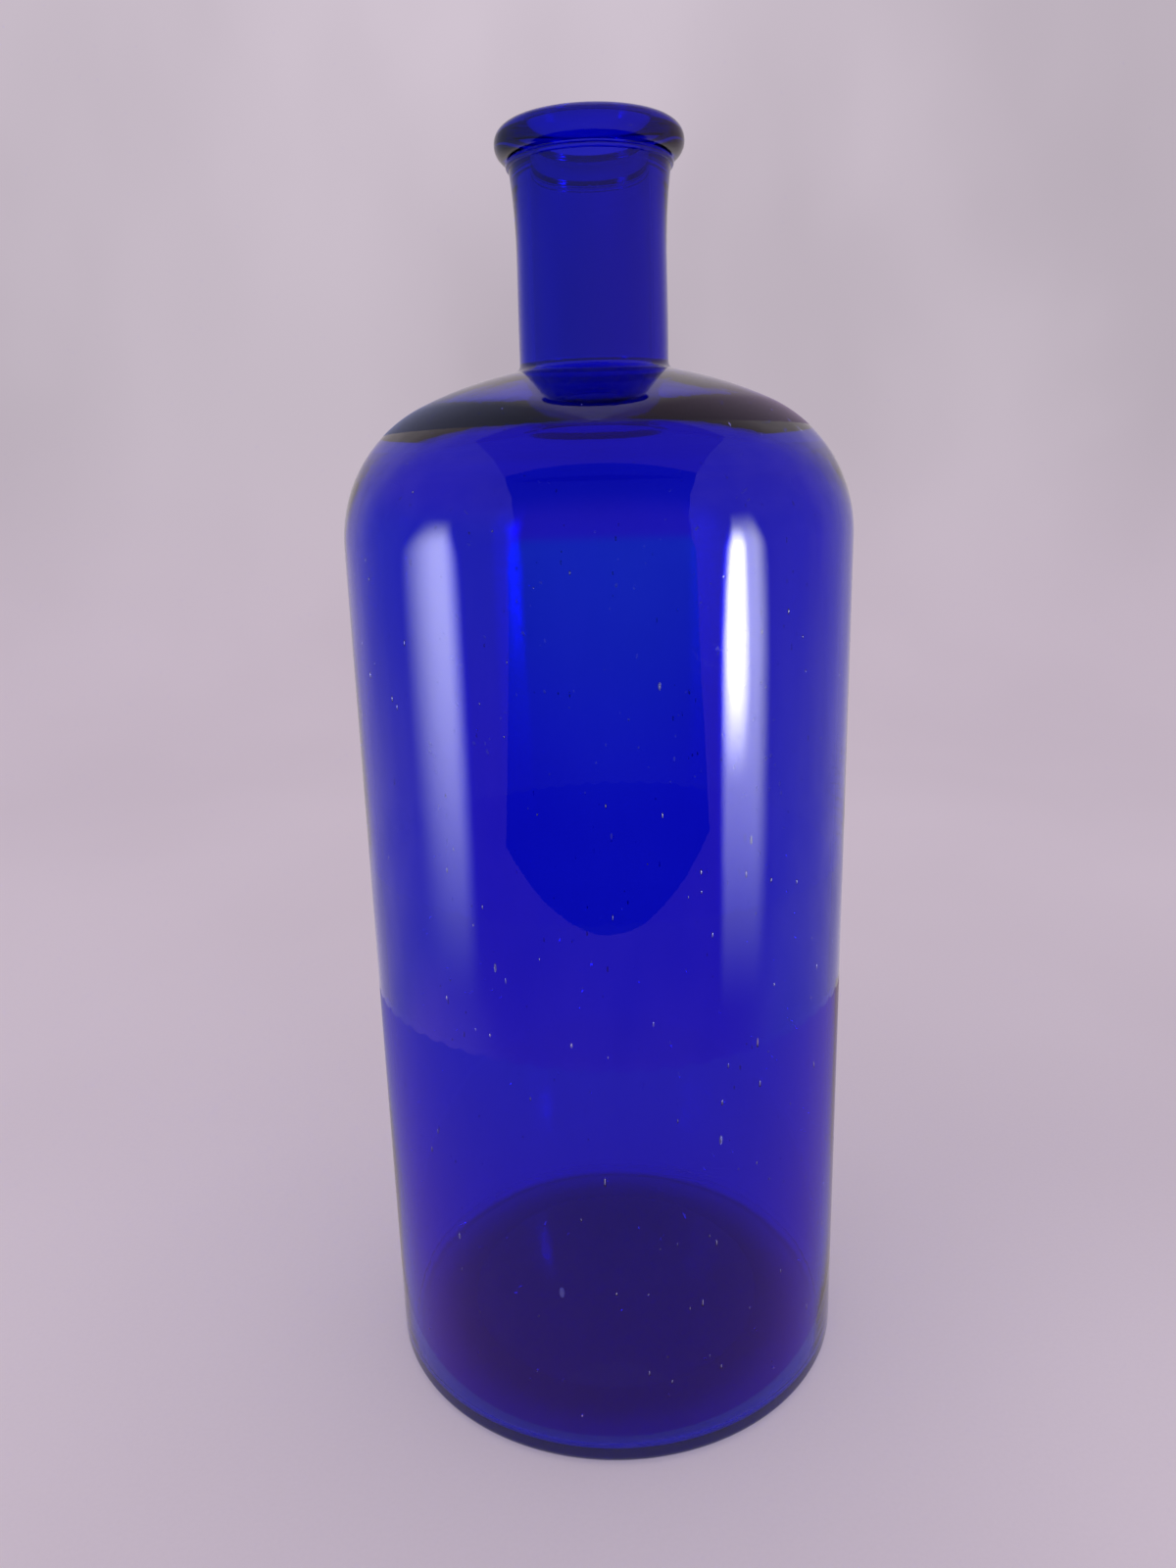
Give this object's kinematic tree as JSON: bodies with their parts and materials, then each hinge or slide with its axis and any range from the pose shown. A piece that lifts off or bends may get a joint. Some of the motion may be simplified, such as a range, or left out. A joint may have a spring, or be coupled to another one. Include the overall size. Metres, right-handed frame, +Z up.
{
  "type": "antique glass bottle",
  "caption": "Tall cylindrical hand-blown glass bottle with a rounded shoulder, straight neck and applied ring lip, open at the mouth, for holding liquids.",
  "frame": {"origin": "centre of the base, on the surface the bottle stands on", "axes": "+Z up along the bottle's axis, out of the mouth; X and Y are free, because the bottle is a body of revolution"},
  "size_m": [0.132, 0.132, 0.332],
  "materials": {
    "cobalt_glass": "smooth fire-polished cobalt-blue glass with fine seeds and light surface wear",
    "cobalt_lip_glass": "smooth tooled cobalt-blue glass"
  },
  "bodies": {
    "root": {"blown_body": "cobalt_glass", "applied_lip": "cobalt_lip_glass"}
  },
  "joints": []
}
